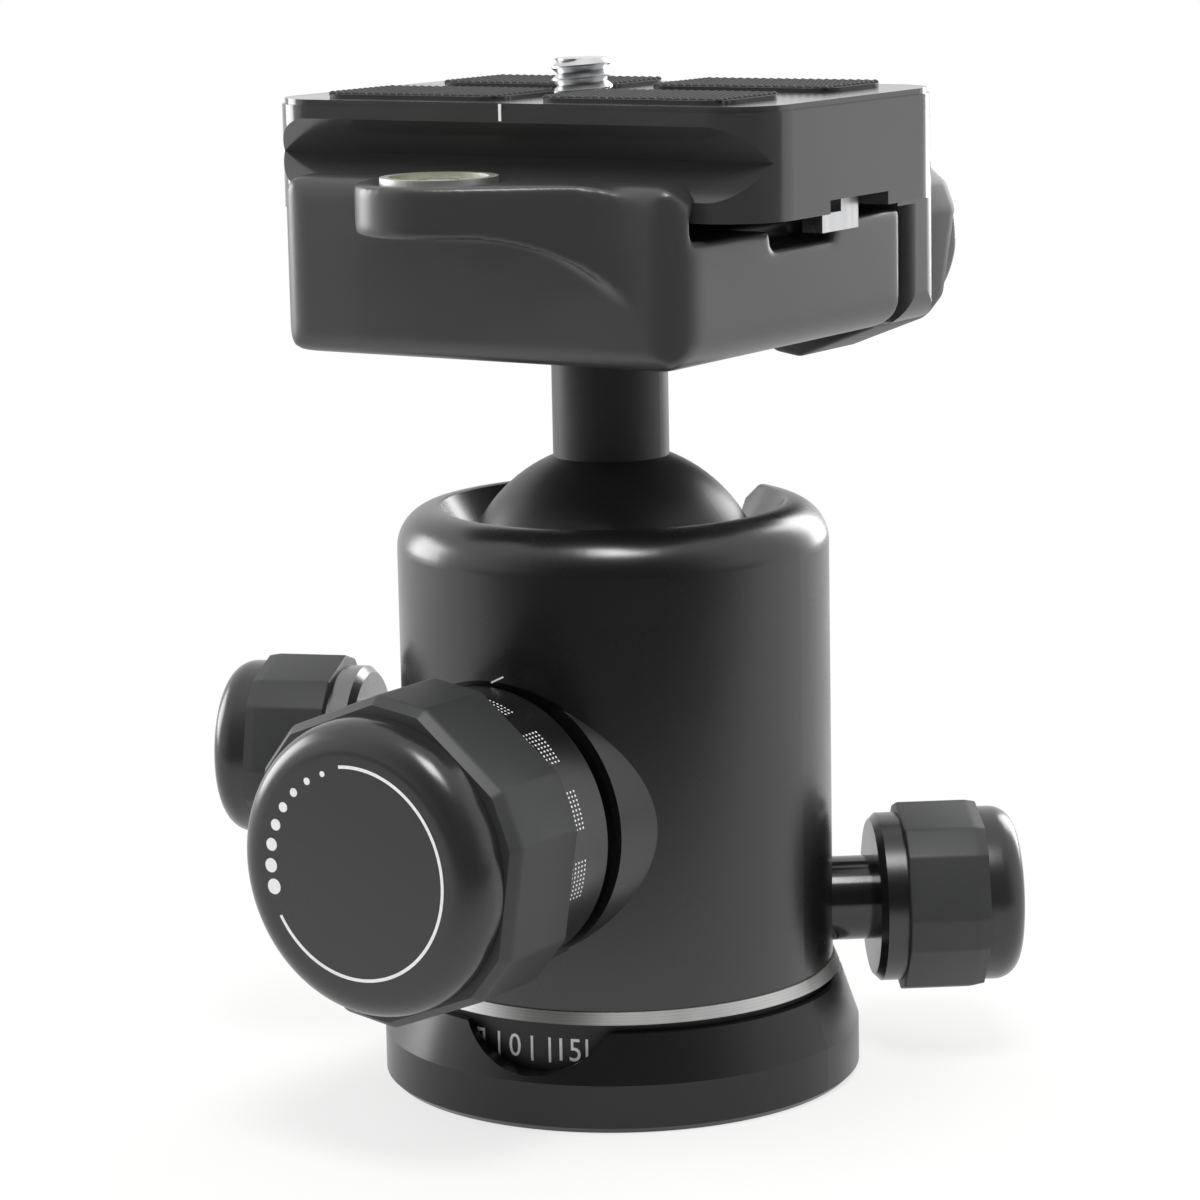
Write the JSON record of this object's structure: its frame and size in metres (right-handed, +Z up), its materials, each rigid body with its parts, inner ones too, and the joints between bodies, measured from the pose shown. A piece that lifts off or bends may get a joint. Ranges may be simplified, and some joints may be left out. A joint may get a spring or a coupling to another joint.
{
  "type": "tripod ball head",
  "caption": "Ball head for a tripod, with a panning base, a wedge ball lock, friction and pan knobs, a drop notch and a knob clamp holding a dovetail camera plate.",
  "frame": {"origin": "centre of the underside, at the mouth of the tripod thread", "axes": "+Z up along the panning axis; X along the dovetail; +Y from the fixed jaw towards the moving jaw and its knob"},
  "size_m": [0.0809, 0.1046, 0.1073],
  "materials": {
    "black_anodised": "satin black anodised",
    "clamp_black": "fine-textured black",
    "plate_black": "satin black anodised",
    "ball_black": "hard matt black",
    "scale_black": "matt black",
    "cap_black": "semi-gloss black",
    "rubber": "matt black rubber",
    "pad_rubber": "matt black rubber",
    "steel": "turned",
    "silver_ring": "bright satin",
    "brass": "turned",
    "polymer": "smooth low-friction polymer",
    "vial": "clear green liquid",
    "lens": "clear"
  },
  "bodies": {
    "base": {"pan_base": "black_anodised", "thread_bush": "brass", "retainer_plate": "steel", "retainer_screws": "steel"},
    "housing": {"body_shell": "black_anodised", "trim_ring": "silver_ring", "degree_drum": "scale_black", "drum_screws": "steel", "slip_washer": "polymer", "ball_seat": "polymer", "cup_springs": "steel"},
    "cup": {"pressure_cup": "polymer"},
    "lock_plunger": {"wedge_plunger": "steel"},
    "friction_plunger_body": {"friction_plunger": "steel"},
    "shoe": {"pan_shoe": "polymer"},
    "lock_knob": {"lock_shaft": "steel", "lock_collar": "black_anodised", "lock_grip": "rubber", "lock_cap": "cap_black", "lock_knob_screw": "steel"},
    "friction_knob": {"friction_shaft": "steel", "friction_collar": "black_anodised", "friction_grip": "rubber", "friction_cap": "cap_black"},
    "pan_knob": {"pan_shaft": "steel", "pan_collar": "black_anodised", "pan_grip": "rubber", "pan_cap": "cap_black"},
    "ball": {"ball_stem": "ball_black", "clamp_bolt": "steel", "bolt_washer": "steel"},
    "clamp": {"clamp_base": "clamp_black", "guide_pins": "steel", "jaw_springs": "steel", "level_bezel": "silver_ring", "level_vial": "vial", "level_lens": "lens"},
    "jaw": {"moving_jaw": "clamp_black", "jaw_washer": "steel"},
    "clamp_knob": {"clamp_screw": "steel", "clamp_collar": "black_anodised", "clamp_grip": "rubber", "clamp_cap": "cap_black", "clamp_knob_screw": "steel"},
    "plate_body": {"plate": "plate_black", "rubber_pads": "pad_rubber", "plate_stops": "silver_ring", "stop_screws": "steel"},
    "camera_screw_body": {"camera_screw": "silver_ring", "screw_clip": "steel"}
  },
  "joints": [
    {"name": "pan", "type": "hinge", "parent": "base", "child": "housing", "pos_m": [0, 0, 0.012], "axis": [0, 0, 1], "continuous": true},
    {"name": "lock_turn", "type": "hinge", "parent": "housing", "child": "lock_knob", "pos_m": [-0.00061, -0.03499, 0.0311], "axis": [0.0175, 0.9998, 0], "range_deg": [0, 288.5]},
    {"name": "lock_plunger_slide", "type": "slide", "parent": "housing", "child": "lock_plunger", "axis": [0.0175, 0.9998, 0], "range_m": [0, 0.001]},
    {"name": "cup_lift", "type": "slide", "parent": "housing", "child": "cup", "axis": [0, 0, 1], "range_m": [0, 0.00051]},
    {"name": "friction_turn", "type": "hinge", "parent": "housing", "child": "friction_knob", "pos_m": [-0.03289, -0.01197, 0.0336], "axis": [0.9397, 0.342, 0], "range_deg": [0, 144.5]},
    {"name": "friction_plunger_slide", "type": "slide", "parent": "housing", "child": "friction_plunger_body", "axis": [0.9397, 0.342, 0], "range_m": [0, 0.0005]},
    {"name": "pan_lock_turn", "type": "hinge", "parent": "housing", "child": "pan_knob", "pos_m": [0.02795, 0.02106, 0.0172], "axis": [-0.7986, -0.6018, 0], "range_deg": [0, 120.5]},
    {"name": "shoe_slide", "type": "slide", "parent": "housing", "child": "shoe", "axis": [-0.7986, -0.6018, 0], "range_m": [0, 0.000416]},
    {"name": "ball_tilt", "type": "hinge", "parent": "housing", "child": "ball", "pos_m": [0, 0, 0.0511], "axis": [-1, 0, 0], "range_deg": [-40, 80]},
    {"name": "head_turn", "type": "hinge", "parent": "ball", "child": "clamp", "pos_m": [0, 0, 0.0783], "axis": [0, 0, 1], "continuous": true},
    {"name": "clamp_knob_turn", "type": "hinge", "parent": "jaw", "child": "clamp_knob", "pos_m": [-0.0009, 0.045, 0.08455], "axis": [0, 1, 0], "range_deg": [0, 1801]},
    {"name": "jaw_slide", "type": "slide", "parent": "clamp", "child": "jaw", "axis": [0, 1, 0], "range_m": [0, 0.004]},
    {"name": "plate_slide", "type": "slide", "parent": "clamp", "child": "plate_body", "axis": [1, 0, 0], "range_m": [-0.006, 0.0046]},
    {"name": "camera_screw_turn", "type": "hinge", "parent": "plate_body", "child": "camera_screw_body", "pos_m": [-0.0027, 0, 0.1], "axis": [0, 0, 1], "continuous": true}
  ],
  "couplings": [
    {"joint": "lock_turn", "follows": "lock_plunger_slide", "rad_per_m": 5026.5},
    {"joint": "cup_lift", "follows": "lock_plunger_slide", "ratio": 0.5},
    {"joint": "friction_turn", "follows": "friction_plunger_slide", "rad_per_m": 5026.5},
    {"joint": "pan_lock_turn", "follows": "shoe_slide", "rad_per_m": 5026.5},
    {"joint": "clamp_knob_turn", "follows": "jaw_slide", "rad_per_m": 7854}
  ]
}
